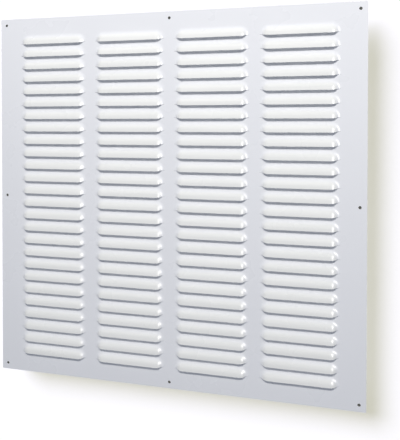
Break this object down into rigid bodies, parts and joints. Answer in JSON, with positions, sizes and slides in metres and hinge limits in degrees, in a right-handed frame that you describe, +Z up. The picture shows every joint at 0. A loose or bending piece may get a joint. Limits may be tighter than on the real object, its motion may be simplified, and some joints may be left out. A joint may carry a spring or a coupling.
{
  "type": "ventilation grille",
  "caption": "Flat square ventilation cover pressed from painted sheet metal, with rows of hooded louvres that open downwards and screw holes round its edge.",
  "frame": {"origin": "centre of the flat back face, which lies on the wall", "axes": "+Y into the wall, +Z up, +X to the right as seen from the front; the louvres stand out towards -Y"},
  "size_m": [0.5, 0.0058, 0.5],
  "materials": {
    "white_coat": "smooth white powder coat with a soft gloss"
  },
  "bodies": {
    "root": {"louvre_plate": "white_coat"}
  },
  "joints": []
}
